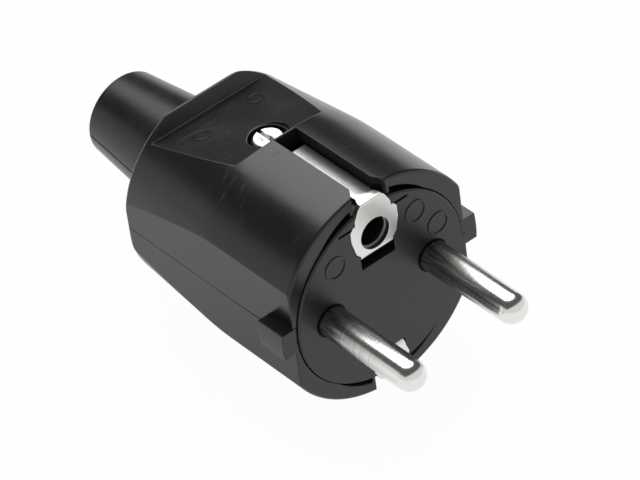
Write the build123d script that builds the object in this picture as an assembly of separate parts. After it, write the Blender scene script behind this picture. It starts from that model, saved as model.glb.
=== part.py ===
from build123d import *
import os

os.makedirs("parts", exist_ok=True)

# A rewirable two-pin mains plug with side earth straps and an earth hole.
# It is modelled about its own axis: Y runs from the face (y = 0) to the cord
# end, the pins point to -Y and lie side by side along X, and Z is up.

# Outline of the housing
body_radius = 18.2
rear_radius = 16.55
taper_start_y = 19.0
front_rim_y = 0.4
flat_half_width = 16.05
rim_rounding = 0.5
rear_rounding = 0.7
taper_blend_radius = 60.0
edge_rounding = 0.2
wall = 2.0
rear_wall = 2.0
parting_z = -0.3
parting_gap = 0.3
parting_gap_end_y = 17.0

# Thumb flat sunk into the top and the underside
thumb_front_y = 20.1
thumb_front_z = 16.2
thumb_rear_gap = 1.5
thumb_rear_z = 12.75
thumb_step_run = 1.55
thumb_step_rise = 2.0
thumb_lip_gap = 0.4
thumb_lip_z = 14.95

# Clearances
fit = 0.1
loose = 0.2
panel_gap = 0.15

# Side guide lugs
lug_length = 5.3
lug_half_height = 2.2

# Face insert
insert_radius = 15.4
disc_thickness = 5.0
groove_radius = 14.0
shell_rib = 1.6
flange_thickness = 1.7
insert_length = 13.0
insert_edge_bevel = 0.25
insert_bar_half_height = 4.6
insert_post_half_width = 4.4
insert_post_half_height = 13.0
relief_front_radius = 12.8
relief_radius = 12.2
relief_depth = 1.0
relief_shift = 3.8
relief_inner_x = 3.6
slit_z = 13.15
slit_width = 0.4
slit_end_x = 6.4
slit_depth = 3.0

# Contact pins
pin_diameter = 4.8
pin_length = 19.0
pin_spacing = 19.0
pin_root_radius = 2.6
barrel_radius = 3.3
barrel_start_y = 4.0
barrel_bevel = 0.3
wire_hole_radius = 1.6
wire_hole_depth = 7.5
terminal_screw_inset = 3.2

# Screws
thread_radius = 1.5
head_radius = 2.42
head_height = 1.8
head_bevel = 0.3
screw_tip_bevel = 0.4
driver_slot_width = 0.7
driver_slot_depth = 0.8

# Earth straps
strap_thickness = 0.8
strap_bend_radius = 0.45
strap_corner_rounding = 0.3
limb_half_width = 1.65
limb_end_y = 16.2
limb_waist_half_width = 1.5
limb_waist_y = 1.6
limb_full_y = 3.7
neck_top_half_width = 2.4
neck_corner = 0.5
neck_half_width = 3.3
neck_full_z = 14.1
neck_foot_z = 13.3
tab_top_half_width = 3.7
tab_half_width = 4.3
tab_shoulder_z = 12.6
tab_waist_z = 10.8
tab_foot_half_width = 3.0
tab_flank_half_width = 3.7
tab_flank_z = 8.4
upper_tail_z = 6.75
upper_slot_foot_z = 5.15
lower_tail_z = 11.7
lower_tab_half_width = 2.75
tail_half_width = 2.75
web_overlap = 3.4
earth_head_radius = 2.72
earth_screw_grip = 3.0
earth_screw_spare = 0.5

# Channel for the strap in each shell
channel_half_width = 1.95
channel_end_y = 18.3
bridge_drop = 0.2
mouth_half_width = 3.1
mouth_length = 1.7

# Earth hole and the rolled tube behind it
earth_hole_z = 10.2
earth_hole_radius = 2.6
tube_bore_radius = 2.5
tube_wall = 0.5
tube_start_y = 0.95
tube_slit = 0.6
tongue_half_width = 2.2
tongue_thickness = 0.6
saddle_size = 6.0
saddle_thickness = 0.8
saddle_corner = 0.8

# Housing screw and nut
screw_to_earth_screw = 1.15
screw_head_top_z = 15.15
screw_recess_radius = 3.3
screw_ledge_z = 14.94
screw_bore_radius = 3.04
boss_radius = 3.6
nut_across_flats = 5.5
nut_thickness = 2.4
screw_end_inset = 0.3
nut_floor_z = -12.9
nut_boss_radius = 4.5

# Cord clamp
clamp_to_screw_boss = 0.35
clamp_to_bulkhead = 0.4
clamp_screw_grip = 7.0
clamp_screw_spare = 2.0
clamp_rounding = 1.5
clamp_width = 5.0
clamp_post_x = 8.0
clamp_post_radius = 2.6
clamp_seat_z = 2.0
clamp_bar_height = 3.0
clamp_hump_radius = 6.3
cord_radius = 4.5
saddle_rib = 1.6

# Cable sleeve
sleeve_length = 21.1
sleeve_end_radius = 6.84
sleeve_mouth_radius = 9.13
sleeve_bore_radius = 4.5
sleeve_flange_radius = 10.6
sleeve_flange_thickness = 2.4
sleeve_bevel = 0.5
bulkhead = 1.5
bulkhead_hole_radius = 6.5

# Values worked out from those above
opening_radius = insert_radius + panel_gap
rib_start_y = disc_thickness + fit
rib_end_y = rib_start_y + shell_rib
flange_start_y = rib_end_y + fit
flange_end_y = flange_start_y + flange_thickness
limb_bottom_z = insert_radius + fit
limb_top_z = limb_bottom_z + strap_thickness
outer_bend = strap_thickness + strap_bend_radius
pin_x = pin_spacing / 2
pin_radius = pin_diameter / 2
lower_web_y = insert_length + strap_thickness / 2
upper_web_y = lower_web_y + strap_thickness
tongue_y = upper_web_y + strap_thickness / 2
saddle_y = tongue_y + tongue_thickness
earth_head_y = saddle_y + saddle_thickness
terminal_screw_y = insert_length - terminal_screw_inset
screw_y = earth_head_y + head_height + screw_to_earth_screw + boss_radius
clamp_y = screw_y + boss_radius + clamp_to_screw_boss + clamp_width / 2
bulkhead_y = clamp_y + clamp_width / 2 + clamp_to_bulkhead
flange_front_y = bulkhead_y + bulkhead + fit
cavity_rear_y = flange_front_y + sleeve_flange_thickness + fit
body_rear_y = cavity_rear_y + rear_wall
thumb_rear_y = body_rear_y - thumb_rear_gap
thumb_lip_y = body_rear_y - thumb_lip_gap
sleeve_end_y = body_rear_y + sleeve_length
big = 100.0


def sleeve_radius_at(y):
    """Radius of the tapered sleeve at a place along its axis."""
    share = (y - body_rear_y) / (sleeve_end_y - body_rear_y)
    return sleeve_mouth_radius + (sleeve_end_radius - sleeve_mouth_radius) * share


def turned(points):
    """Solid turned about the plug's axis from (radius, y) points."""
    return revolve(make_face(Polyline(*points, close=True)), Axis.Y)


def rod(radius, start, end):
    """Round rod between two points."""
    run = Vector(*end) - Vector(*start)
    plane = Plane(origin=start, z_dir=run)
    return extrude(plane * Circle(radius), amount=run.length)


def block(x, y, z):
    """Box from its (low, high) limits along each axis."""
    size = [high - low for low, high in (x, y, z)]
    middle = [(high + low) / 2 for low, high in (x, y, z)]
    return Pos(*middle) * Box(*size)


def side_prism(points, half_width):
    """Prism along X from a closed outline of (y, z) points."""
    return extrude(Plane.YZ * make_face(Polyline(*points, close=True)), amount=half_width, both=True)


def front_prism(points, y_start, y_end):
    """Prism along Y from a closed outline of (x, z) points."""
    return plate_from_front(make_face(Polyline(*points, close=True)), y_start, y_end)


def below(solid):
    """The same form turned over to the underside."""
    return mirror(solid, about=Plane.XY)


def thumb_cutter(inset):
    """Block that sinks the thumb flat, grown by inset on all its faces."""
    slope = thumb_step_run / thumb_step_rise
    outline = make_face(
        Polyline(
            (thumb_front_y - slope * (big - thumb_front_z), big),
            (thumb_front_y, thumb_front_z),
            (thumb_rear_y, thumb_rear_z),
            (thumb_lip_y, thumb_lip_z),
            (big, thumb_lip_z),
            (big, big),
            close=True,
        )
    )
    if inset > 0:
        outline = offset(outline, amount=inset, kind=Kind.INTERSECTION)
    return extrude(Plane.YZ * outline, amount=big, both=True)


def body_outline(inset):
    """Half section of the round body, moved in by inset."""
    return make_face(
        Polyline(
            (0, front_rim_y),
            (body_radius - inset, front_rim_y),
            (body_radius - inset, taper_start_y),
            (rear_radius - inset, body_rear_y),
            (0, body_rear_y),
            close=True,
        )
    )


def outer_outline():
    """Half section of the outside, with its rounded rims and a soft start of the taper."""
    outline = body_outline(0)
    for corner, rounding in (
        ((body_radius, front_rim_y), rim_rounding),
        ((body_radius, taper_start_y), taper_blend_radius),
        ((rear_radius, body_rear_y), rear_rounding),
    ):
        vertex = outline.vertices().sort_by_distance(corner)[0]
        outline = fillet(vertex, rounding)
    return outline


def body_form(inset, front_y, rear_y):
    """Round body with side flats and thumb flats, moved in by inset, from front_y to rear_y."""
    outline = body_outline(inset) if inset > 0 else outer_outline()
    form = revolve(outline, Axis.Y)
    side = flat_half_width - inset
    form &= block((-side, side), (front_y, rear_y), (-big, big))
    cutter = thumb_cutter(inset)
    return form - cutter - below(cutter)


def outer_form():
    """Outside of the closed housing with its sharp edges broken."""
    form = body_form(0, front_rim_y, body_rear_y)
    on_flat = [e for e in form.edges() if abs(abs(e.center().X) - flat_half_width) < fit]
    form = fillet([e for e in on_flat if e.length > body_radius / 4 and e.center().Z != 0], edge_rounding)
    step_y = thumb_front_y - thumb_step_run
    step = [e for e in form.edges() if abs(e.center().Z) > thumb_front_z - loose and abs(e.center().Y - step_y) < 3]
    form = fillet([e for e in step if not e.is_interior], edge_rounding)
    lip = [e for e in form.edges().filter_by(Axis.X) if abs(e.center().Y - thumb_lip_y) < fit]
    return fillet(lip, edge_rounding)


def housing_cavity():
    """Inside of the closed housing: front opening, rib for the insert and hollow body."""
    opening = rod(opening_radius, (0, front_rim_y, 0), (0, rib_start_y, 0))
    relief_end_y = front_rim_y + relief_depth
    relief = Pos(0, 0, relief_shift) * turned(
        [
            (0, front_rim_y),
            (relief_front_radius, front_rim_y),
            (relief_radius, relief_end_y),
            (relief_radius, rib_start_y),
            (0, rib_start_y),
        ]
    )
    relief -= block((-relief_inner_x, relief_inner_x), (front_rim_y, rib_start_y), (-big, big))
    throat = rod(groove_radius + loose, (0, rib_start_y, 0), (0, rib_end_y, 0))
    side = flat_half_width - wall
    throat &= block((-side, side), (-big, big), (-big, big))
    hollow = body_form(wall, rib_end_y, cavity_rear_y)
    return opening + relief + below(relief) + throat + hollow


def strap_channel():
    """Slot through the shell over the strap, flared at its mouth, with a low bridge behind it."""
    outline = [
        (mouth_half_width, front_rim_y),
        (channel_half_width, front_rim_y + mouth_length),
        (channel_half_width, channel_end_y),
    ]
    other_side = [(-x, y) for x, y in reversed(outline)]
    face = make_face(Polyline(*outline, *other_side, close=True))
    slot = Pos(0, 0, insert_post_half_height) * extrude(face, amount=big)
    side = (-channel_half_width, channel_half_width)
    return slot + block(side, (channel_end_y, thumb_front_y), (body_radius - bridge_drop, big))


def lug_blocks(clearance):
    """The two guide lugs beside the rim, grown by a clearance."""
    height = lug_half_height + clearance
    end_y = front_rim_y + lug_length + clearance
    inner_x = flat_half_width - wall
    solid = block((inner_x, body_radius), (front_rim_y, end_y), (-height, height))
    solid &= rod(body_radius, (0, front_rim_y, 0), (0, end_y, 0))
    solid -= rod(opening_radius, (0, front_rim_y, 0), (0, rib_start_y, 0))
    return solid + mirror(solid, about=Plane.YZ)


def bulkhead_plate():
    """Rib across the housing that holds the sleeve's flange from the front."""
    plate = body_form(wall / 2, bulkhead_y, bulkhead_y + bulkhead)
    return plate - rod(bulkhead_hole_radius, (0, bulkhead_y, 0), (0, bulkhead_y + bulkhead, 0))


def sleeve_opening():
    """Tapered hole in the rear wall that grips the sleeve."""
    return turned(
        [
            (0, cavity_rear_y - fit),
            (sleeve_radius_at(cavity_rear_y) + fit, cavity_rear_y - fit),
            (sleeve_radius_at(body_rear_y) + fit, body_rear_y + 1),
            (0, body_rear_y + 1),
        ]
    )


def locating_lip(clearance):
    """Lip along the parting line of the lower shell, grown by a clearance."""
    outer = body_form(wall / 2 - clearance, flange_end_y, body_rear_y - rear_wall / 2 + clearance)
    outer -= body_form(wall, flange_end_y - 1, cavity_rear_y)
    return outer & block((-big, big), (flange_end_y, big), (parting_z, parting_z + wall / 2 + clearance))


def upper_half():
    return block((-big, big), (-big, big), (parting_z, big))


def lower_half():
    return block((-big, big), (-big, big), (-big, parting_z))


def make_upper_shell():
    shell = outer_form() - housing_cavity() + bulkhead_plate()
    boss = rod(boss_radius, (0, screw_y, parting_z), (0, screw_y, screw_ledge_z - 1))
    shell = shell + boss
    shell -= strap_channel()
    shell -= sleeve_opening()
    shell -= rod(screw_recess_radius, (0, screw_y, screw_ledge_z), (0, screw_y, big))
    seat_z = screw_head_top_z - head_height
    shell -= rod(screw_bore_radius, (0, screw_y, seat_z), (0, screw_y, big))
    shell -= rod(thread_radius + fit, (0, screw_y, -1), (0, screw_y, big))
    shell &= upper_half()
    wedge = [(0, parting_z), (parting_gap_end_y, parting_z), (0, parting_z + parting_gap)]
    shell -= side_prism(wedge, big)
    shell -= lug_blocks(fit)
    return shell - locating_lip(fit)


def make_lower_shell():
    shell = outer_form() - housing_cavity() + bulkhead_plate()
    floor = body_form(wall / 2, front_rim_y, cavity_rear_y)
    boss = rod(boss_radius, (0, screw_y, parting_z), (0, screw_y, -body_radius))
    boss += rod(nut_boss_radius, (0, screw_y, nut_floor_z + wall), (0, screw_y, -body_radius))
    for side in (-1, 1):
        x = side * clamp_post_x
        boss += rod(clamp_post_radius, (x, clamp_y, clamp_seat_z), (x, clamp_y, -body_radius))
    rib_front = clamp_y - saddle_rib / 2
    rib = block((-clamp_post_x, clamp_post_x), (rib_front, rib_front + saddle_rib), (-body_radius, parting_z))
    rib -= rod(cord_radius, (0, rib_front, 0), (0, rib_front + saddle_rib, 0))
    inside = (boss + rib) & floor
    shell = shell & lower_half()
    shell += inside
    shell += lug_blocks(0) + locating_lip(0)
    shell -= below(strap_channel())
    shell -= sleeve_opening()
    shell -= rod(thread_radius + fit, (0, screw_y, 0), (0, screw_y, -big))
    nut_pocket = Plane.XY * RegularPolygon((nut_across_flats + loose) / 2, 6, major_radius=False)
    shell -= Pos(0, screw_y, nut_floor_z) * extrude(nut_pocket, amount=-body_radius)
    for side in (-1, 1):
        x = side * clamp_post_x
        shell -= rod(thread_radius + fit, (x, clamp_y, big), (x, clamp_y, clamp_seat_z - clamp_screw_grip - clamp_screw_spare))
    return shell


def mirrored_face(right_points):
    """Face with a left side that mirrors its right side."""
    left = [(-x, z) for x, z in reversed(right_points)]
    return make_face(Polyline(*right_points, *left, close=True))


def neck_points():
    """Right side of a strap's neck, from its top corner downwards."""
    return [
        (neck_top_half_width - neck_corner, limb_top_z),
        (neck_top_half_width, limb_top_z - neck_corner),
        (neck_half_width, neck_full_z),
    ]


def upper_tab_points():
    """Right side of the upper strap's neck and tab, from its top edge to its foot bend."""
    return [
        *neck_points(),
        (neck_half_width, neck_foot_z),
        (tab_top_half_width, neck_foot_z),
        (tab_half_width, tab_shoulder_z),
        (tab_half_width, tab_waist_z),
        (tab_flank_half_width, tab_flank_z),
        (tab_foot_half_width, foot_bend_z(upper_tail_z)),
    ]


def lower_tab_points():
    """Right side of the lower strap's short tab, as if it lay on the upper side."""
    return [
        *neck_points(),
        (lower_tab_half_width, foot_bend_z(lower_tail_z)),
    ]


def foot_bend_z(tail_z):
    """Height at which the tab starts to bend back into its tail."""
    return tail_z - strap_thickness / 2 + outer_bend


def tab_recess(points, foot_z):
    """Recess in the insert's face that a strap's neck and tab lie in."""
    foot = (points[-1][0], foot_z)
    face = offset(mirrored_face([*points, foot]), amount=fit)
    return plate_from_front(face, -1, strap_thickness + fit / 2)


def plate_from_front(face, y_start, y_end):
    """A front outline given depth."""
    plane = Plane(origin=(0, y_start, 0), x_dir=(1, 0, 0), z_dir=(0, -1, 0))
    return extrude(plane * face, amount=-(y_end - y_start))


def make_insert():
    bar_x = flat_half_width - wall - loose
    body = turned(
        [
            (0, 0),
            (insert_radius, 0),
            (insert_radius, disc_thickness),
            (groove_radius, disc_thickness),
            (groove_radius, flange_start_y),
            (insert_radius, flange_start_y),
            (insert_radius, flange_end_y),
            (0, flange_end_y),
        ]
    )
    front_ring = body.edges().filter_by(GeomType.CIRCLE).sort_by(Axis.Y)[0]
    body = chamfer(front_ring, insert_edge_bevel)
    behind = block((-bar_x, bar_x), (disc_thickness, big), (-big, big))
    body &= behind + block((-big, big), (-1, disc_thickness), (-big, big))
    half_bar = insert_bar_half_height
    post_x = insert_post_half_width
    post_z = insert_post_half_height
    body += block((-bar_x, bar_x), (flange_start_y, insert_length), (-half_bar, half_bar))
    body += block((-post_x, post_x), (flange_start_y, insert_length), (-post_z, post_z))
    rib_x = limb_half_width - loose
    rib_z = limb_bottom_z - fit
    body += block((-rib_x, rib_x), (flange_start_y, insert_length), (-rib_z, rib_z))

    body -= tab_recess(upper_tab_points(), upper_tail_z)
    body -= below(tab_recess(lower_tab_points(), lower_tail_z))
    inside_bend = strap_thickness / 2 + strap_bend_radius
    slot_x = tab_foot_half_width + fit
    body -= block((-slot_x, slot_x), (-1, big), (upper_slot_foot_z, upper_tail_z + inside_bend))
    slot_x = lower_tab_half_width + fit
    slot_foot_z = lower_tail_z - strap_thickness / 2 - fit
    slot = block((-slot_x, slot_x), (-1, big), (slot_foot_z, lower_tail_z + inside_bend))
    corner_y = insert_length - strap_bend_radius - fit
    slot += block((-slot_x, slot_x), (corner_y, big), (lower_tail_z - inside_bend - fit, lower_tail_z))
    body -= below(slot)
    for sign in (-1, 1):
        ends = sorted((sign * neck_half_width, sign * slit_end_x))
        body -= block(ends, (-1, slit_depth), (slit_z - slit_width / 2, slit_z + slit_width / 2))
        x = sign * pin_x
        body -= rod(pin_root_radius + fit / 2, (x, -1, 0), (x, barrel_start_y, 0))
        body -= rod(barrel_radius + fit, (x, barrel_start_y, 0), (x, big, 0))
        body -= rod(head_radius + loose, (x, terminal_screw_y, 0), (x, terminal_screw_y, big))
    tube_outer = tube_bore_radius + tube_wall
    body -= rod(tube_outer + fit, (0, 0, earth_hole_z), (0, big, earth_hole_z))
    hole_start_y = insert_length - earth_screw_grip - earth_screw_spare
    return body - rod(thread_radius + loose, (0, hole_start_y, 0), (0, big, 0))


def make_pin(side):
    x = side * pin_x
    tip_y = -pin_length
    shaft = rod(pin_radius, (0, tip_y + pin_radius, 0), (0, 0, 0))
    shaft += rod(pin_root_radius, (0, 0, 0), (0, barrel_start_y, 0))
    shaft += Pos(0, tip_y + pin_radius, 0) * Sphere(pin_radius)
    barrel = rod(barrel_radius, (0, barrel_start_y, 0), (0, insert_length, 0))
    ends = barrel.edges().filter_by(GeomType.CIRCLE)
    pin = shaft + chamfer(ends, barrel_bevel)
    pin -= rod(wire_hole_radius, (0, insert_length - wire_hole_depth, 0), (0, big, 0))
    pin -= rod(thread_radius + fit, (0, terminal_screw_y, 0), (0, terminal_screw_y, big))
    return Pos(x, 0, 0) * pin


def slotted_screw(shank_length, radius=head_radius):
    """Cheese-head screw pointing down, with the underside of its head at z = 0."""
    head = Pos(0, 0, head_height / 2) * Cylinder(radius, head_height)
    head = chamfer(head.edges().filter_by(GeomType.CIRCLE).sort_by(Axis.Z)[-1], head_bevel)
    half = driver_slot_width / 2
    head -= block((-half, half), (-big, big), (head_height - driver_slot_depth, big))
    shank = rod(thread_radius, (0, 0, 0), (0, 0, -shank_length))
    tip = shank.edges().filter_by(GeomType.CIRCLE).sort_by(Axis.Z)[0]
    return head + chamfer(tip, screw_tip_bevel)


def make_terminal_screw(side):
    seat_z = barrel_radius + fit
    return Pos(side * pin_x, terminal_screw_y, seat_z) * slotted_screw(seat_z - wire_hole_radius / 2)


def sheet_bend(center_y, center_z, toward_y, toward_z, half_width):
    """Quarter ring of sheet about an axis along X, bulging toward the given side."""
    ring = rod(outer_bend, (-half_width, center_y, center_z), (half_width, center_y, center_z))
    ring -= rod(strap_bend_radius, (-half_width, center_y, center_z), (half_width, center_y, center_z))
    y_limits = sorted((center_y, center_y + toward_y * outer_bend))
    z_limits = sorted((center_z, center_z + toward_z * outer_bend))
    return ring & block((-half_width, half_width), y_limits, z_limits)


def make_strap(tab_points, tail_z, foot_half_width, tail_x, web_y):
    """Sheet folded at the rim, bent at the tab's foot, with a tail that turns down behind the insert."""
    limb_front_half_width = neck_top_half_width - neck_corner
    limb = mirrored_face(
        [
            (limb_front_half_width, 0),
            (limb_front_half_width, strap_thickness),
            (limb_waist_half_width, limb_waist_y),
            (limb_half_width, limb_full_y),
            (limb_half_width, limb_end_y),
        ]
    )
    strap = Pos(0, 0, limb_bottom_z) * extrude(limb, amount=strap_thickness)
    strap += plate_from_front(mirrored_face(tab_points), 0, strap_thickness)
    strap = fillet(strap.edges().sort_by_distance((0, 0, limb_top_z))[0], strap_corner_rounding)
    strap += sheet_bend(outer_bend, foot_bend_z(tail_z), -1, -1, foot_half_width)
    web_front_y = web_y - strap_thickness / 2
    tail_foot_z = tail_z - strap_thickness / 2
    tail_end_y = web_front_y - strap_bend_radius
    strap += block((-tail_x, tail_x), (outer_bend, tail_end_y), (tail_foot_z, tail_foot_z + strap_thickness))
    web_top_z = tail_foot_z - strap_bend_radius
    strap += sheet_bend(tail_end_y, web_top_z, 1, 1, tail_x)
    strap += block((-tail_x, tail_x), (web_front_y, web_front_y + strap_thickness), (-web_overlap, web_top_z))
    return strap - rod(thread_radius + fit, (0, insert_length - 1, 0), (0, big, 0))


def make_upper_strap():
    strap = make_strap(upper_tab_points(), upper_tail_z, tab_foot_half_width, tail_half_width, upper_web_y)
    return strap - rod(earth_hole_radius, (0, -1, earth_hole_z), (0, strap_thickness + 1, earth_hole_z))


def make_lower_strap():
    width = lower_tab_half_width
    return below(make_strap(lower_tab_points(), lower_tail_z, width, width, lower_web_y))


def make_earth_socket():
    outer = tube_bore_radius + tube_wall
    end_y = tongue_y + tongue_thickness
    tube = rod(outer, (0, tube_start_y, earth_hole_z), (0, end_y, earth_hole_z))
    tongue_x = tongue_half_width
    tongue = block((-tongue_x, tongue_x), (tongue_y, end_y), (-web_overlap, earth_hole_z))
    socket = tube + tongue
    socket -= rod(tube_bore_radius, (0, 0, earth_hole_z), (0, big, earth_hole_z))
    socket -= block((-tube_slit / 2, tube_slit / 2), (0, big), (earth_hole_z, big))
    return socket - rod(thread_radius + fit, (0, tongue_y - 1, 0), (0, big, 0))


def make_earth_saddle():
    half = saddle_size / 2
    plate = block((-half, half), (saddle_y, earth_head_y), (-half, half))
    plate = fillet(plate.edges().filter_by(Axis.Y), saddle_corner)
    return plate - rod(thread_radius + fit, (0, 0, 0), (0, big, 0))


def make_earth_screw():
    reach = earth_head_y - insert_length + earth_screw_grip
    return Pos(0, earth_head_y, 0) * Rot(-90, 0, 0) * slotted_screw(reach, earth_head_radius)


def make_cord_clamp():
    reach = clamp_post_x + clamp_post_radius
    front = clamp_y - clamp_width / 2
    top = clamp_seat_z + clamp_bar_height
    bar = block((-reach, reach), (front, front + clamp_width), (clamp_seat_z, top))
    bar = fillet(bar.edges().filter_by(Axis.Z), clamp_rounding)
    hump = rod(clamp_hump_radius, (0, front, 0), (0, front + clamp_width, 0))
    bar += hump & block((-big, big), (-big, big), (clamp_seat_z, big))
    bar -= rod(cord_radius, (0, front, 0), (0, front + clamp_width, 0))
    for side in (-1, 1):
        x = side * clamp_post_x
        bar -= rod(thread_radius + loose, (x, clamp_y, 0), (x, clamp_y, big))
    return bar


def make_clamp_screw(side):
    seat = Pos(side * clamp_post_x, clamp_y, clamp_seat_z + clamp_bar_height)
    return seat * slotted_screw(clamp_bar_height + clamp_screw_grip)


def make_housing_screw():
    seat_z = screw_head_top_z - head_height
    reach = seat_z - nut_floor_z + nut_thickness - screw_end_inset
    return Pos(0, screw_y, seat_z) * slotted_screw(reach)


def make_housing_nut():
    blank = extrude(RegularPolygon(nut_across_flats / 2, 6, major_radius=False), amount=-nut_thickness)
    blank -= Pos(0, 0, -nut_thickness / 2) * Cylinder(thread_radius + fit / 2, 2 * nut_thickness)
    return Pos(0, screw_y, nut_floor_z) * blank


def make_cable_sleeve():
    neck = sleeve_radius_at(cavity_rear_y)
    sleeve = turned(
        [
            (sleeve_bore_radius, flange_front_y),
            (sleeve_flange_radius, flange_front_y),
            (sleeve_flange_radius, flange_front_y + sleeve_flange_thickness),
            (neck, flange_front_y + sleeve_flange_thickness),
            (sleeve_end_radius, sleeve_end_y),
            (sleeve_bore_radius, sleeve_end_y),
        ]
    )
    rim = sleeve.edges().filter_by(GeomType.CIRCLE).sort_by(Axis.Y)[-2:]
    return chamfer(rim, sleeve_bevel)


# The finished plug lies at z = 0 on the two edges of its lower channel, its middle over the origin
rest_depth = (body_radius**2 - channel_half_width**2) ** 0.5
place = Pos(0, (pin_length - sleeve_end_y) / 2, rest_depth)

pieces = {
    "upper_shell": make_upper_shell(),
    "lower_shell": make_lower_shell(),
    "face_insert": make_insert(),
    "pin_left": make_pin(-1),
    "pin_right": make_pin(1),
    "terminal_screw_left": make_terminal_screw(-1),
    "terminal_screw_right": make_terminal_screw(1),
    "earth_strap_upper": make_upper_strap(),
    "earth_strap_lower": make_lower_strap(),
    "earth_socket": make_earth_socket(),
    "earth_saddle": make_earth_saddle(),
    "earth_screw": make_earth_screw(),
    "cord_clamp": make_cord_clamp(),
    "clamp_screw_left": make_clamp_screw(-1),
    "clamp_screw_right": make_clamp_screw(1),
    "housing_screw": make_housing_screw(),
    "housing_nut": make_housing_nut(),
    "cable_sleeve": make_cable_sleeve(),
}

for name, shape in pieces.items():
    export_step(place * shape, f"parts/{name}.step")
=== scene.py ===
import math

import bpy
from mathutils import Matrix, Vector


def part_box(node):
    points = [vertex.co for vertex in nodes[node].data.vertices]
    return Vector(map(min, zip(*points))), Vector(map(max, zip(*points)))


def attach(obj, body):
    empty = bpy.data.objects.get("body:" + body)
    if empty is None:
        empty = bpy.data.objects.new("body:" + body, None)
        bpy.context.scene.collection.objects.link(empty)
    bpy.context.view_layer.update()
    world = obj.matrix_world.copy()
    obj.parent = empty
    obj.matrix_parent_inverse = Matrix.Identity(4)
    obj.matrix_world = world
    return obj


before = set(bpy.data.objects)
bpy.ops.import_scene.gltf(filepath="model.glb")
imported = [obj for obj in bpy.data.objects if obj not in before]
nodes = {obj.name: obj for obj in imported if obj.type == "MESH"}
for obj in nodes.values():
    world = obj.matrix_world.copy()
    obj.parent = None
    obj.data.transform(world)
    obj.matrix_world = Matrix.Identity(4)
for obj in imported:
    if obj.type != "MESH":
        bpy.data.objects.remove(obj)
bpy.ops.object.select_all(action="DESELECT")
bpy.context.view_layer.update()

# The camera stands in front of the plug on its left, well above it and far away,
# so that the pins and the housing show almost without perspective. It is turned
# a little about its own line of sight, as the picture is.
camera_place = Vector((-0.28378, -0.40790, 0.43197))
camera_turn = math.radians(-35.262)
camera_tilt = math.radians(90.0 - 40.024)
camera_roll = math.radians(-8.146)
camera_data = bpy.data.cameras.new("camera")
camera_data.lens = 252.55
camera_data.sensor_width = 36.0
camera_data.clip_start = 0.05
camera_data.clip_end = 20.0
camera = bpy.data.objects.new("camera", camera_data)
bpy.context.scene.collection.objects.link(camera)
camera.matrix_world = (
    Matrix.Translation(camera_place)
    @ Matrix.Rotation(camera_turn, 4, "Z")
    @ Matrix.Rotation(camera_tilt, 4, "X")
    @ Matrix.Rotation(camera_roll, 4, "Z")
)
bpy.context.scene.camera = camera
bpy.context.scene.view_settings.view_transform = "Standard"


# The stage is a plain pale floor that looks white to the camera and keeps a faint
# shadow of the plug. It stands in a studio that is white near the floor and dark from
# there up to a round lamp over the back of the plug.
def new_material(name):
    """Empty node material and its node tree."""
    material = bpy.data.materials.new(name)
    material.use_nodes = True
    material.node_tree.nodes.clear()
    return material, material.node_tree


def feed(tree, socket, value):
    """Give an input socket a number, a colour or another node's output."""
    if isinstance(value, bpy.types.NodeSocket):
        tree.links.new(value, socket)
    else:
        socket.default_value = value


def maths(tree, operation, first, second=None, third=None):
    """Math node between sockets or numbers, as its output socket."""
    node = tree.nodes.new("ShaderNodeMath")
    node.operation = operation
    for socket, value in zip(node.inputs, (first, second, third)):
        if value is not None:
            feed(tree, socket, value)
    return node.outputs[0]


def ramp(tree, value, low, high, to_low=0.0, to_high=1.0):
    """Smooth step from to_low to to_high while value goes from low to high."""
    node = tree.nodes.new("ShaderNodeMapRange")
    node.interpolation_type = "SMOOTHSTEP"
    names = ("Value", "From Min", "From Max", "To Min", "To Max")
    for name, given in zip(names, (value, low, high, to_low, to_high)):
        feed(tree, node.inputs[name], given)
    return node.outputs["Result"]


def object_place(tree):
    """Place on the piece in metres."""
    return tree.nodes.new("ShaderNodeTexCoord").outputs["Object"]


def parts_of(tree, vector):
    """The X, Y and Z of a vector socket, as output sockets by name."""
    node = tree.nodes.new("ShaderNodeSeparateXYZ")
    feed(tree, node.inputs["Vector"], vector)
    return node.outputs


def along(tree, vector, direction):
    """Dot product of a vector socket with a fixed or linked direction."""
    node = tree.nodes.new("ShaderNodeVectorMath")
    node.operation = "DOT_PRODUCT"
    feed(tree, node.inputs[0], vector)
    feed(tree, node.inputs[1], direction)
    return node.outputs["Value"]


def direction_at(azimuth, elevation):
    """Unit vector to an azimuth from the cord side, turning right, and an elevation."""
    turn, rise = math.radians(azimuth), math.radians(elevation)
    level = math.cos(rise)
    return Vector((level * math.sin(turn), level * math.cos(turn), math.sin(rise)))


def mirrored_rays(tree):
    """Value that is 1 on rays that a glossy or clear surface sends on."""
    path = tree.nodes.new("ShaderNodeLightPath").outputs
    return maths(tree, "MAXIMUM", path["Is Glossy Ray"], path["Is Transmission Ray"])


def camera_rays(tree):
    """Value that is 1 on rays that come from the camera."""
    return tree.nodes.new("ShaderNodeLightPath").outputs["Is Camera Ray"]


def surface_output(tree, shader):
    """Material output that shows a shader."""
    output = tree.nodes.new("ShaderNodeOutputMaterial")
    tree.links.new(shader.outputs[0], output.inputs["Surface"])


def between_shaders(tree, share, first, second):
    """Shader between two shaders."""
    node = tree.nodes.new("ShaderNodeMixShader")
    tree.links.new(share, node.inputs["Fac"])
    tree.links.new(first.outputs[0], node.inputs[1])
    tree.links.new(second.outputs[0], node.inputs[2])
    return node


floor_half = 3.0
floor_colour = (0.8, 0.8, 0.8, 1)
floor_glow = 0.97
bpy.ops.mesh.primitive_plane_add(size=2 * floor_half, location=(0, 0, 0))
floor = bpy.context.object
floor.name = "floor"
floor_material, tree = new_material("pale_floor")

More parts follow.
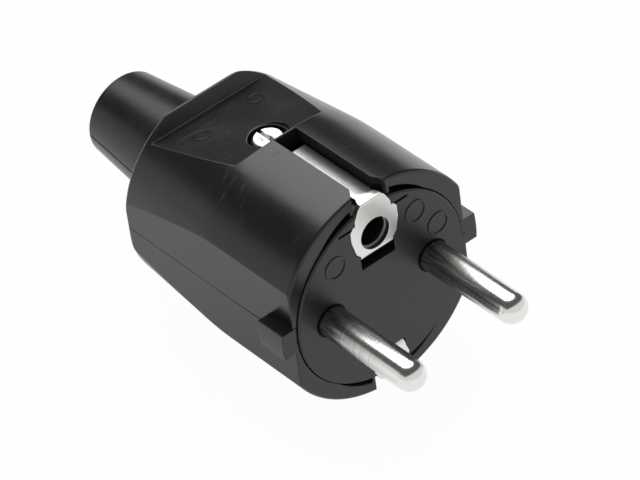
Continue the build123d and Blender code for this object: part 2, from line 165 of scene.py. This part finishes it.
# The housing's sides mirror the floor next to the plug, where a painted shade lowers the floor's
# glow in reflections
shaded_glow = 0.45
shade_half_width, open_half_width = 0.022, 0.05
shade_rear_y, open_rear_y = 0.03, 0.07
shade_front_y, open_front_y = -0.012, -0.026
spot = parts_of(tree, object_place(tree))
beside = ramp(tree, maths(tree, "ABSOLUTE", spot["X"]), shade_half_width, open_half_width)
behind = ramp(tree, spot["Y"], shade_rear_y, open_rear_y)
ahead = ramp(tree, spot["Y"], shade_front_y, open_front_y)
open_floor = maths(tree, "MAXIMUM", beside, maths(tree, "MAXIMUM", behind, ahead))
mirrored_glow = ramp(tree, open_floor, 0.0, 1.0, shaded_glow, floor_glow)
in_mirror = maths(tree, "MULTIPLY", mirrored_rays(tree), mirrored_glow)
in_view = maths(tree, "MULTIPLY", camera_rays(tree), floor_glow)

# Seen from below, the floor lets the view through
paper = tree.nodes.new("ShaderNodeBsdfDiffuse")
paper.inputs["Color"].default_value = floor_colour
white = tree.nodes.new("ShaderNodeEmission")
upper_side = between_shaders(tree, maths(tree, "MAXIMUM", in_mirror, in_view), paper, white)
clear = tree.nodes.new("ShaderNodeBsdfTransparent")
backfacing = tree.nodes.new("ShaderNodeNewGeometry").outputs["Backfacing"]
surface_output(tree, between_shaders(tree, backfacing, upper_side, clear))
floor.data.materials.append(floor_material)

# The dark part of the studio starts low on the right, higher on the left and in front
studio_dark = 0.12
right_lean = (0.17, 0.0, 1.0)
left_lean = (0.28, 0.0, 1.0)
front_lean = (0.0, 0.75, 1.0)
studio_white_to = 0.06
studio_dark_from = 0.24
fill_level = 0.4
world = bpy.data.worlds.new("studio")
world.use_nodes = True
tree = world.node_tree
tree.nodes.clear()
direction = tree.nodes.new("ShaderNodeTexCoord").outputs["Generated"]
height = along(tree, direction, right_lean)
for lean in (left_lean, front_lean):
    height = maths(tree, "MINIMUM", height, along(tree, direction, lean))
walls = ramp(tree, height, studio_white_to, studio_dark_from, 1.0, studio_dark)
mirrored = mirrored_rays(tree)
mirror_light = maths(tree, "MULTIPLY", walls, mirrored)
fill_light = maths(tree, "MULTIPLY", maths(tree, "SUBTRACT", 1.0, mirrored), fill_level)
strength = maths(tree, "MAXIMUM", maths(tree, "ADD", mirror_light, fill_light), camera_rays(tree))
background = tree.nodes.new("ShaderNodeBackground")
tree.links.new(strength, background.inputs["Strength"])
output = tree.nodes.new("ShaderNodeOutputWorld")
tree.links.new(background.outputs[0], output.inputs["Surface"])
bpy.context.scene.world = world

# One large round soft lamp hangs over the back of the plug
lamp_direction = direction_at(25.0, 62.0)
lamp_distance = 0.8
lamp_diameter = 0.92
lamp_power = 6.6
lamp_data = bpy.data.lights.new("soft_lamp", "AREA")
lamp_data.shape = "DISK"
lamp_data.size = lamp_diameter
lamp_data.energy = lamp_power
lamp = bpy.data.objects.new("soft_lamp", lamp_data)
lamp.location = lamp_direction * lamp_distance
lamp.rotation_euler = lamp_direction.to_track_quat("Z", "Y").to_euler()
bpy.context.scene.collection.objects.link(lamp)


# The lower shell is the moulded half that everything is laid into. It is black
# thermoplastic out of a polished mould, so it has a fine grain, a soft gloss, edges
# that the mould leaves a little round, and the scuffs and dust of handling.
def group_tree(name, inputs, outputs):
    """New shader node group with its sockets, and its two end nodes."""
    group = bpy.data.node_groups.new(name, "ShaderNodeTree")
    for socket_name, kind, value in inputs:
        socket = group.interface.new_socket(name=socket_name, in_out="INPUT", socket_type=kind)
        if value is not None:
            socket.default_value = value
    for socket_name, kind in outputs:
        group.interface.new_socket(name=socket_name, in_out="OUTPUT", socket_type=kind)
    given = group.nodes.new("NodeGroupInput").outputs
    return group, given, group.nodes.new("NodeGroupOutput").inputs


def place_group(tree, group, **values):
    """A group put into a material with its own values, as its output sockets."""
    node = tree.nodes.new("ShaderNodeGroup")
    node.node_tree = group
    for name, value in values.items():
        feed(tree, node.inputs[name.replace("_", " ")], value)
    return node.outputs


def noise(tree, vector, scale, detail=2.0, roughness=0.5):
    """Noise texture on a vector, as its value from 0 to 1."""
    node = tree.nodes.new("ShaderNodeTexNoise")
    feed(tree, node.inputs["Vector"], vector)
    feed(tree, node.inputs["Scale"], scale)
    node.inputs["Detail"].default_value = detail
    node.inputs["Roughness"].default_value = roughness
    return node.outputs["Fac"]


def mapped(tree, vector, location=(0, 0, 0), rotation=(0, 0, 0), scale=(1, 1, 1)):
    """Mapping node that moves, turns and stretches a pattern."""
    node = tree.nodes.new("ShaderNodeMapping")
    feed(tree, node.inputs["Vector"], vector)
    node.inputs["Location"].default_value = location
    node.inputs["Rotation"].default_value = rotation
    feed(tree, node.inputs["Scale"], scale)
    return node.outputs["Vector"]


def mixed(tree, share, first, second):
    """Colour between two colours."""
    node = tree.nodes.new("ShaderNodeMix")
    node.data_type = "RGBA"
    feed(tree, node.inputs["Factor"], share)
    feed(tree, node.inputs["A"], first)
    feed(tree, node.inputs["B"], second)
    return node.outputs["Result"]


def bump(tree, height, distance, strength=1.0, normal=None):
    """Bump node over an earlier normal."""
    node = tree.nodes.new("ShaderNodeBump")
    feed(tree, node.inputs["Height"], height)
    feed(tree, node.inputs["Distance"], distance)
    feed(tree, node.inputs["Strength"], strength)
    if normal is not None:
        feed(tree, node.inputs["Normal"], normal)
    return node.outputs["Normal"]


# Edges that are a little round: their shading normal and where they are
broken_edge, given, result = group_tree(
    "broken_edge",
    [("Radius", "NodeSocketFloat", 0.0002)],
    [("Normal", "NodeSocketVector"), ("Edge", "NodeSocketFloat")],
)
rounder = broken_edge.nodes.new("ShaderNodeBevel")
rounder.samples = 6
feed(broken_edge, rounder.inputs["Radius"], given["Radius"])
flat_normal = broken_edge.nodes.new("ShaderNodeNewGeometry").outputs["Normal"]
agreement = along(broken_edge, rounder.outputs["Normal"], flat_normal)
feed(broken_edge, result["Normal"], rounder.outputs["Normal"])
feed(broken_edge, result["Edge"], ramp(broken_edge, agreement, 0.99, 0.85))

# Skin of moulded plastic: grain, slow changes of gloss, scuffs in patches, and dust
moulded_skin, given, result = group_tree(
    "moulded_skin",
    [
        ("Grain Scale", "NodeSocketFloat", 2600.0),
        ("Cloud Scale", "NodeSocketFloat", 110.0),
        ("Scuff Scale", "NodeSocketFloat", 170.0),
        ("Scuff Amount", "NodeSocketFloat", 1.0),
        ("Dust Scale", "NodeSocketFloat", 420.0),
    ],
    [
        ("Grain", "NodeSocketFloat"),
        ("Cloud", "NodeSocketFloat"),
        ("Scuff", "NodeSocketFloat"),
        ("Dust", "NodeSocketFloat"),
    ],
)
place = object_place(moulded_skin)
feed(moulded_skin, result["Grain"], noise(moulded_skin, place, given["Grain Scale"], 3.0))
feed(moulded_skin, result["Cloud"], noise(moulded_skin, place, given["Cloud Scale"], 4.0, 0.6))
strokes = mapped(moulded_skin, place, rotation=(0.4, 0.2, 0.9), scale=(1.0, 9.0, 3.0))
stroke_noise = noise(moulded_skin, strokes, given["Scuff Scale"], 3.0, 0.65)
patches = ramp(moulded_skin, noise(moulded_skin, place, 130.0, 1.0), 0.52, 0.68)
scuffs = maths(moulded_skin, "MULTIPLY", ramp(moulded_skin, stroke_noise, 0.56, 0.74), patches)
feed(moulded_skin, result["Scuff"], maths(moulded_skin, "MULTIPLY", scuffs, given["Scuff Amount"]))
cells = moulded_skin.nodes.new("ShaderNodeTexVoronoi")
feed(moulded_skin, cells.inputs["Vector"], place)
feed(moulded_skin, cells.inputs["Scale"], given["Dust Scale"])
near_speck = ramp(moulded_skin, cells.outputs["Distance"], 0.075, 0.03)
speck_draw = moulded_skin.nodes.new("ShaderNodeSeparateColor")
feed(moulded_skin, speck_draw.inputs["Color"], cells.outputs["Color"])
chosen = ramp(moulded_skin, speck_draw.outputs["Red"], 0.9, 0.93)
feed(moulded_skin, result["Dust"], maths(moulded_skin, "MULTIPLY", near_speck, chosen))


edge_wear, scuff_wear, haze_wear = 0.35, 0.5, 0.22
haze_from, haze_full = 0.52, 0.74
worn_gain, worn_lift = 3.2, 0.004
cloud_roughness, scuff_roughness, dust_roughness, hollow_roughness = 0.16, 0.16, 0.4, 0.6
dust_cover = 0.55
dust_colour = (0.16, 0.155, 0.15, 1)
shade_and_joint_colour = (0.002, 0.002, 0.002, 1)


def moulded_plastic(name, colour, roughness, grain_depth, edge_radius, scuff_amount, channel_shade_and_joint=None):
    """Black moulded plastic with the skin's marks on it, rough and dark in its hollows, where the
    darkness is painted shade and a dark joint line.
    """
    material, tree = new_material(name)
    skin = place_group(tree, moulded_skin, Scuff_Amount=scuff_amount)
    edge = place_group(tree, broken_edge, Radius=edge_radius)
    haze = ramp(tree, skin["Cloud"], haze_from, haze_full, 0.0, haze_wear)
    at_edge = maths(tree, "MULTIPLY", edge["Edge"], edge_wear)
    worn = maths(tree, "MAXIMUM", at_edge, maths(tree, "MULTIPLY", skin["Scuff"], scuff_wear))
    worn = maths(tree, "MAXIMUM", worn, haze)
    pale = tuple(worn_gain * part + worn_lift for part in colour)
    base = mixed(tree, worn, (*colour, 1), (*pale, 1))
    base = mixed(tree, maths(tree, "MULTIPLY", skin["Dust"], dust_cover), base, dust_colour)
    from_mean = maths(tree, "SUBTRACT", skin["Cloud"], 0.5)
    rough = maths(tree, "MULTIPLY_ADD", from_mean, cloud_roughness, roughness)
    rough = maths(tree, "MULTIPLY_ADD", skin["Scuff"], scuff_roughness, rough)
    # Where the mask is, the colour goes nearly black: painted shade on the channel walls, and a
    # dark joint line
    if channel_shade_and_joint:
        shade_and_joint = channel_shade_and_joint(tree)
        base = mixed(tree, shade_and_joint, base, shade_and_joint_colour)
        rough = maths(tree, "MULTIPLY_ADD", shade_and_joint, hollow_roughness, rough)
    rough = maths(tree, "MULTIPLY_ADD", skin["Dust"], dust_roughness, rough)
    shader = tree.nodes.new("ShaderNodeBsdfPrincipled")
    feed(tree, shader.inputs["Base Color"], base)
    feed(tree, shader.inputs["Roughness"], rough)
    feed(tree, shader.inputs["Normal"], bump(tree, skin["Grain"], grain_depth, 1.0, edge["Normal"]))
    surface_output(tree, shader)
    return material


def dress(name, material):
    """Put a CAD piece's only material slot to use."""
    mesh = nodes[name].data
    mesh.materials.clear()
    mesh.materials.append(material)
    mesh.polygons.foreach_set("material_index", [0] * len(mesh.polygons))


pin_low, pin_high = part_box("pin_left")
axis_z = (pin_low.z + pin_high.z) / 2
upper_low, upper_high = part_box("upper_shell")
parting_z = upper_low.z
side_flat_x = upper_high.x + 0.0001
channel_wall_x = 0.002
channel_end_y = -0.0016
channel_blur, end_blur, flat_blur = 0.00002, 0.0001, 0.00005
joint_dark_to, joint_clear_from = 0.00005, 0.0001


def channel_and_joint(tree):
    """Mask of painted shade on the walls of the strap's channel, and of the dark joint line between
    the shells.
    """
    spot = parts_of(tree, object_place(tree))
    from_middle = maths(tree, "ABSOLUTE", spot["X"])
    channel = ramp(tree, from_middle, channel_wall_x + channel_blur, channel_wall_x - channel_blur)
    before_end = ramp(tree, spot["Y"], channel_end_y + end_blur, channel_end_y - end_blur)
    channel = maths(tree, "MULTIPLY", channel, before_end)
    from_joint = maths(tree, "ABSOLUTE", maths(tree, "SUBTRACT", spot["Z"], parting_z))
    joint = ramp(tree, from_joint, joint_clear_from, joint_dark_to)
    off_lugs = ramp(tree, from_middle, side_flat_x + flat_blur, side_flat_x - flat_blur)
    return maths(tree, "MAXIMUM", channel, maths(tree, "MULTIPLY", joint, off_lugs))


housing_colour = (0.0095, 0.0085, 0.0085)
housing_black = moulded_plastic(
    "housing_plastic",
    housing_colour,
    roughness=0.25,
    grain_depth=0.000004,
    edge_radius=0.00022,
    scuff_amount=1.0,
    channel_shade_and_joint=channel_and_joint,
)
dress("lower_shell", housing_black)


# The nut is a small hexagon of zinc-plated steel, let into the lower shell from
# underneath, where the shell keeps it from turning. All the screws are of the same
# steel, with the lathe's fine lines on it and dull stains of handling.
tool_lines, given, result = group_tree(
    "tool_lines",
    [("Vector", "NodeSocketVector", None), ("Stretch", "NodeSocketVector", (1.0, 1.0, 1.0))],
    [("Line", "NodeSocketFloat"), ("Blotch", "NodeSocketFloat")],
)
stretched = mapped(tool_lines, given["Vector"], scale=given["Stretch"])
feed(tool_lines, result["Line"], noise(tool_lines, stretched, 1.0, 2.0))
feed(tool_lines, result["Blotch"], noise(tool_lines, object_place(tool_lines), 620.0, 4.0, 0.6))


def from_line(tree, point, across):
    """Distance from the line through a point, measured only along the axes in across."""
    offset = tuple(-part for part in point)
    node = tree.nodes.new("ShaderNodeVectorMath")
    node.operation = "LENGTH"
    feed(tree, node.inputs[0], mapped(tree, object_place(tree), location=offset, scale=across))
    return node.outputs["Value"]


steel_colour = (0.8, 0.79, 0.77, 1)
stain_colour = (0.1, 0.098, 0.095, 1)
stain_from, stain_full = 0.48, 0.66
blotch_roughness, clean_smoothness = 0.12, 0.04
lathe_lines = (9000.0, 900.0, 900.0)


def turned_steel(name, axis=None, roughness=0.2, stain=0.25):
    """Zinc-plated steel with stains, and rings about an upright axis or lines across X."""
    material, tree = new_material(name)
    vector = object_place(tree)
    if axis is not None:
        rings = tree.nodes.new("ShaderNodeCombineXYZ")
        feed(tree, rings.inputs["X"], from_line(tree, axis, (1, 1, 0)))
        vector = rings.outputs["Vector"]
    marks = place_group(tree, tool_lines, Vector=vector, Stretch=lathe_lines)
    edge = place_group(tree, broken_edge, Radius=0.00012)
    stained = maths(tree, "MULTIPLY", ramp(tree, marks["Blotch"], stain_from, stain_full), stain)
    clean = roughness - clean_smoothness
    rough = maths(tree, "MULTIPLY_ADD", marks["Blotch"], blotch_roughness, clean)
    shader = tree.nodes.new("ShaderNodeBsdfPrincipled")
    shader.inputs["Metallic"].default_value = 1.0
    feed(tree, shader.inputs["Base Color"], mixed(tree, stained, steel_colour, stain_colour))
    feed(tree, shader.inputs["Roughness"], rough)
    feed(tree, shader.inputs["Normal"], bump(tree, marks["Line"], 0.000003, 1.0, edge["Normal"]))
    surface_output(tree, shader)
    return material


screw_steel = turned_steel("screw_steel")
dress("housing_nut", screw_steel)


# The face insert is the round carrier of the pins and straps. It is moulded of a
# harder black plastic, duller than the housing, and held by its groove between the
# two shells. Small plain raised rings stand on its face beside the upper strap.
insert_colour = (0.0112, 0.0105, 0.0107)
insert_black = moulded_plastic(
    "insert_plastic",
    insert_colour,
    roughness=0.36,
    grain_depth=0.000005,
    edge_radius=0.00015,
    scuff_amount=0.6,
)
dress("face_insert", insert_black)


def select_where(test):
    """Select the faces of the mesh in edit mode whose centre passes a test."""
    bpy.ops.mesh.select_all(action="DESELECT")
    bpy.ops.object.mode_set(mode="OBJECT")
    for polygon in bpy.context.object.data.polygons:
        polygon.select = test(polygon.center, polygon.normal)
    bpy.ops.object.mode_set(mode="EDIT")


def raised_ring(name, centre, normal, outer, width, rise, material):
    """Low ring with soft edges on a flat face: a disc whose middle is taken out."""
    turn = normal.to_track_quat("Z", "Y").to_euler()
    bpy.ops.object.select_all(action="DESELECT")
    bpy.ops.mesh.primitive_cylinder_add(
        vertices=64, radius=outer, depth=rise, location=centre, rotation=turn
    )
    ring = bpy.context.object
    ring.name = name
    bpy.ops.object.transform_apply(location=True, rotation=True, scale=True)
    bpy.ops.object.mode_set(mode="EDIT")
    bpy.ops.mesh.select_mode(type="FACE")
    select_where(lambda place, facing: abs(facing.dot(normal)) > 0.9)
    bpy.ops.mesh.inset(thickness=width, depth=0.0, use_individual=True)
    bpy.ops.mesh.bridge_edge_loops()
    bpy.ops.object.mode_set(mode="OBJECT")
    bevel = ring.modifiers.new("soft_edges", "BEVEL")
    bevel.width = rise / 3
    bevel.segments = 2
    bevel.limit_method = "ANGLE"
    bpy.ops.object.modifier_apply(modifier=bevel.name)
    ring.data.materials.append(material)
    return ring


def copied(piece, name):
    """Copy of a finished piece with a mesh of its own, left selected to be moved."""
    bpy.ops.object.select_all(action="DESELECT")
    piece.select_set(True)
    bpy.context.view_layer.objects.active = piece
    bpy.ops.object.duplicate()
    bpy.context.object.name = name
    return bpy.context.object


def set_rings(kind, places, normal, outer, width, rise, material):
    """Like rings on one face: the first is modelled and the others are copied from it."""
    labels = list(places)
    first_place = places[labels[0]]
    first = raised_ring(f"{kind}_{labels[0]}", first_place, normal, outer, width, rise, material)
    rings = [first]
    for label in labels[1:]:
        rings.append(copied(first, f"{kind}_{label}"))
        bpy.ops.transform.translate(value=places[label] - first_place)
        bpy.ops.object.transform_apply(location=True, rotation=True, scale=True)
    for ring in rings:
        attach(ring, "root")


face_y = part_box("face_insert")[0].y
face_normal = Vector((0.0, -1.0, 0.0))
ring_rise = 0.00018
face_ring_radius, face_ring_width = 0.0019, 0.0003
face_ring_y = face_y - ring_rise / 4
face_ring_places = {
    "upper": Vector((0.0074, face_ring_y, axis_z + 0.0095)),
    "side": Vector((0.0111, face_ring_y, axis_z + 0.0050)),
    "left": Vector((-0.0076, face_ring_y, axis_z + 0.0085)),
}
set_rings(
    "face_ring",
    face_ring_places,
    face_normal,
    face_ring_radius,
    face_ring_width,
    ring_rise,
    insert_black,
)


# The two contact pins are turned brass rods with nickel plate and round tips. They
# are pushed into the insert from behind, and the cutter's fine rings still show
# around them, most of all close to the face where sockets have not polished them.
nickel_colour = (0.8, 0.79, 0.77, 1)
film_colour = (0.3, 0.285, 0.275, 1)
soot_and_reflection_colour = (0.19, 0.182, 0.175, 1)
root_shade_colour = (0.015, 0.014, 0.013, 1)
polished_y, unpolished_y = -0.0365, -0.0255
soot_and_reflection_from_y, soot_and_reflection_full_y = -0.0305, -0.0215
root_from_y, root_full_y = -0.0205, -0.02015
film_in_rings, film_all_over = 0.7, 0.35
soot_in_streaks, dark_reflection_all_over = 0.6, 0.3
pin_roughness, unpolished_roughness = 0.15, 0.12
root_roughness, pin_blotch_roughness = 0.4, 0.06
polished_rings, unpolished_rings = 0.12, 0.75
pin_nickel, tree = new_material("pin_nickel")
rod_y = parts_of(tree, object_place(tree))["Y"]
rings = place_group(tree, tool_lines, Vector=object_place(tree), Stretch=(120.0, 5200.0, 120.0))
unpolished = ramp(tree, rod_y, polished_y, unpolished_y)
ring_film = maths(tree, "MULTIPLY", ramp(tree, rings["Line"], 0.4, 0.62), unpolished)
ring_film = maths(tree, "MULTIPLY", ring_film, film_in_rings)
film = maths(tree, "MAXIMUM", ring_film, maths(tree, "MULTIPLY", unpolished, film_all_over))
plate = mixed(tree, film, nickel_colour, film_colour)
# Towards the face, streaks of soot and a painted dark reflection of the black face darken the plate
streaks = place_group(tree, tool_lines, Vector=object_place(tree), Stretch=(2400.0, 260.0, 2400.0))
in_streaks = ramp(tree, streaks["Line"], 0.38, 0.62)
soot_and_dark_reflection = maths(tree, "MULTIPLY_ADD", in_streaks, soot_in_streaks, dark_reflection_all_over)
soot_and_dark_reflection = maths(tree, "MULTIPLY", ramp(tree, rod_y, soot_and_reflection_from_y, soot_and_reflection_full_y), soot_and_dark_reflection)
plate = mixed(tree, soot_and_dark_reflection, plate, soot_and_reflection_colour)
# Right where the pin meets the face its colour goes almost black: painted shade
root_shade = ramp(tree, rod_y, root_from_y, root_full_y)
rough = maths(tree, "MULTIPLY_ADD", unpolished, unpolished_roughness, pin_roughness)
rough = maths(tree, "MULTIPLY_ADD", root_shade, root_roughness, rough)
rough = maths(tree, "MULTIPLY_ADD", rings["Blotch"], pin_blotch_roughness, rough)
ring_strength = maths(tree, "MULTIPLY_ADD", unpolished, unpolished_rings, polished_rings)
shader = tree.nodes.new("ShaderNodeBsdfPrincipled")
shader.inputs["Metallic"].default_value = 1.0
feed(tree, shader.inputs["Base Color"], mixed(tree, root_shade, plate, root_shade_colour))
feed(tree, shader.inputs["Roughness"], rough)
feed(tree, shader.inputs["Normal"], bump(tree, rings["Line"], 0.000006, ring_strength))
surface_output(tree, shader)
for name in ("pin_left", "pin_right"):
    dress(name, pin_nickel)


# The terminal screws clamp the two live wires inside the barrels of the pins. They
# are the same plated steel screws as the others and sit deep inside the insert.
for name in ("terminal_screw_left", "terminal_screw_right"):
    dress(name, screw_steel)


# The earth straps are strips of nickel-plated brass sheet, blanked and folded over
# the insert, one above and one below, and the tube behind the earth hole is rolled
# from the same sheet. The limbs are rubbed by the side contacts of sockets.
sheet_colour = (0.8, 0.79, 0.775, 1)
rubbed_and_shade_colour = (0.2, 0.195, 0.19, 1)
tube_shade_colour = (0.05, 0.045, 0.04, 1)
limb_from_z, limb_full_z = 0.0154, 0.0157
bend_end_y, limb_start_y = -0.0188, -0.0172
crown_radius = 0.009
crown_middle = -0.0016
hole_z = axis_z + 0.0102
tube_radius = 0.00256
tube_start_y, tube_dark_y = -0.0193, -0.0186
lit_side_x, shaded_side_x = -0.0012, 0.0008
left_wear_and_shade, right_wear_and_shade, patch_wear = 0.35, 0.75, 0.25
wear_and_shade_cover = 0.9
sheet_roughness, worn_roughness = 0.26, 0.16
tube_roughness, sheet_blotch_roughness = 0.35, 0.08
strap_nickel, tree = new_material("strap_nickel")
lines = place_group(tree, tool_lines, Vector=object_place(tree), Stretch=(6500.0, 260.0, 260.0))
edge = place_group(tree, broken_edge, Radius=0.00015)
spot = parts_of(tree, object_place(tree))

# The limbs are a little crowned across. Rubbed patches darken them, and painted shade darkens their
# right side most
from_middle = maths(tree, "ABSOLUTE", maths(tree, "SUBTRACT", spot["Z"], axis_z))
past_bend = ramp(tree, spot["Y"], bend_end_y, limb_start_y)
on_limb = maths(tree, "MULTIPLY", ramp(tree, from_middle, limb_from_z, limb_full_z), past_bend)
from_crown = maths(tree, "SUBTRACT", spot["X"], crown_middle)
from_crown = maths(tree, "MULTIPLY", from_crown, from_crown)
crown = maths(tree, "MULTIPLY", maths(tree, "MULTIPLY", from_crown, -0.5 / crown_radius), on_limb)
patchy = ramp(tree, lines["Blotch"], 0.4, 0.6)
patchy = maths(tree, "MULTIPLY", ramp(tree, lines["Line"], 0.42, 0.6), patchy)
# Painted shade: the limb grows darker towards its right side
shaded_side = ramp(tree, spot["X"], lit_side_x, shaded_side_x, left_wear_and_shade, right_wear_and_shade)
rubbed_and_shaded = maths(tree, "MULTIPLY_ADD", patchy, patch_wear, shaded_side)
rubbed_and_shaded = maths(tree, "MULTIPLY", rubbed_and_shaded, on_limb)
plate = mixed(tree, maths(tree, "MULTIPLY", rubbed_and_shaded, wear_and_shade_cover), sheet_colour, rubbed_and_shade_colour)

# The inside of the tube is darkened with painted shade
from_hole = from_line(tree, (0, 0, hole_z), (1, 0, 1))
tube_inside_shade = ramp(tree, from_hole, tube_radius, tube_radius - 0.00003)
tube_inside_shade = maths(tree, "MULTIPLY", tube_inside_shade, ramp(tree, spot["Y"], tube_start_y, tube_dark_y))
rough = maths(tree, "MULTIPLY_ADD", rubbed_and_shaded, worn_roughness, sheet_roughness)
rough = maths(tree, "MULTIPLY_ADD", tube_inside_shade, tube_roughness, rough)
rough = maths(tree, "MULTIPLY_ADD", lines["Blotch"], sheet_blotch_roughness, rough)
shader = tree.nodes.new("ShaderNodeBsdfPrincipled")
shader.inputs["Metallic"].default_value = 1.0
feed(tree, shader.inputs["Base Color"], mixed(tree, tube_inside_shade, plate, tube_shade_colour))
feed(tree, shader.inputs["Roughness"], rough)
crowned = bump(tree, crown, 1.0, 1.0, edge["Normal"])
feed(tree, shader.inputs["Normal"], bump(tree, lines["Line"], 0.000003, 1.0, crowned))
surface_output(tree, shader)
for name in ("earth_strap_upper", "earth_strap_lower", "earth_socket"):
    dress(name, strap_nickel)


# The earth screw and its square washer clamp the straps, the tube's tongue and the
# earth wire together behind the insert.
for name in ("earth_saddle", "earth_screw"):
    dress(name, screw_steel)


# The cord clamp is a moulded bar of the insert's plastic, screwed down over the cord
# onto two posts of the lower shell.
dress("cord_clamp", insert_black)
for name in ("clamp_screw_left", "clamp_screw_right"):
    dress(name, screw_steel)


# The cable sleeve is a tapered tube of softer black plastic that keeps the cord from
# kinking. Its flange is caught in the shells, and the two halves of its mould left a
# thin raised line along each side.
sleeve_colour = (0.009, 0.008, 0.008)
sleeve_shine = 0.4
sleeve_black = moulded_plastic(
    "sleeve_plastic",
    sleeve_colour,
    roughness=0.27,
    grain_depth=0.000006,
    edge_radius=0.00035,
    scuff_amount=0.8,
)
sleeve_shader = sleeve_black.node_tree.nodes["Principled BSDF"]
sleeve_shader.inputs["Specular IOR Level"].default_value = sleeve_shine
dress("cable_sleeve", sleeve_black)
seam_start_gap, seam_end_gap = 0.00015, 0.00055
seam_front_y = upper_high.y + seam_start_gap
seam_rear_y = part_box("cable_sleeve")[1].y - seam_end_gap
seam_front_x, seam_rear_x = 0.0091, 0.0069
seam_width = 0.00024
seam_depth = 0.0006
seam_end_share = 0.7
seam_length = seam_rear_y - seam_front_y
seam_middle_y = (seam_front_y + seam_rear_y) / 2
bpy.ops.object.select_all(action="DESELECT")
bpy.ops.mesh.primitive_cube_add(size=1.0, location=(0, seam_middle_y, axis_z))
seam_left = bpy.context.object
seam_left.name = "sleeve_seam_left"
seam_left.dimensions = (seam_depth, seam_length, seam_width)
bpy.ops.object.transform_apply(location=True, rotation=True, scale=True)
bpy.ops.object.mode_set(mode="EDIT")
bpy.ops.mesh.select_mode(type="FACE")
for end, reach in ((-1, seam_front_x), (1, seam_rear_x)):
    select_where(lambda place, facing: facing.y * end > 0.9)
    bpy.ops.transform.translate(value=(seam_depth / 3 - reach, 0, 0))
    bpy.ops.transform.resize(value=(1.0, 1.0, seam_end_share))
bpy.ops.mesh.select_all(action="SELECT")
bpy.ops.mesh.bevel(offset=seam_width / 4, segments=2, affect="EDGES")
bpy.ops.object.mode_set(mode="OBJECT")
seam_left.data.materials.append(sleeve_black)

# The right seam is the left one turned half round about the plug's axis
seam_right = copied(seam_left, "sleeve_seam_right")
bpy.ops.transform.rotate(value=math.pi, orient_axis="Y", center_override=(0, 0, axis_z))
bpy.ops.object.transform_apply(location=True, rotation=True, scale=True)
for seam in (seam_left, seam_right):
    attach(seam, "root")


# The upper shell closes the plug over all of this. It is the same moulded plastic as
# the lower shell, and two small plain raised rings stand on its sunk thumb flat.
dress("upper_shell", housing_black)
flat_front_y, flat_rear_y = 0.00005, 0.01645
flat_front_z, flat_rear_z = 0.0162, 0.01275
thumb_ring_radius, thumb_ring_width = 0.0013, 0.00022
flat_tilt = math.atan2(flat_front_z - flat_rear_z, flat_rear_y - flat_front_y)
flat_facing = Vector((0.0, math.sin(flat_tilt), math.cos(flat_tilt)))


def on_thumb_flat(x, y):
    """Place of a ring on the sloping flat, sunk a quarter of its height."""
    flat_z = flat_front_z - (y - flat_front_y) * math.tan(flat_tilt)
    return Vector((x, y, axis_z + flat_z)) + flat_facing * (ring_rise / 4)


thumb_ring_places = {
    "left": on_thumb_flat(-0.0053, 0.01125),
    "right": on_thumb_flat(0.0055, 0.01225),
}
set_rings(
    "thumb_ring",
    thumb_ring_places,
    flat_facing,
    thumb_ring_radius,
    thumb_ring_width,
    ring_rise,
    housing_black,
)


# The housing screw goes down through both shells into the nut. Its slotted head
# shines out of a round recess in the top, with the lathe's fine rings and some stains.
screw_low, screw_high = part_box("housing_screw")
screw_middle = (screw_low + screw_high) / 2
screw_roughness = 0.24
screw_stain = 0.9
ringed_steel = turned_steel("housing_screw_steel", screw_middle, screw_roughness, screw_stain)
dress("housing_screw", ringed_steel)
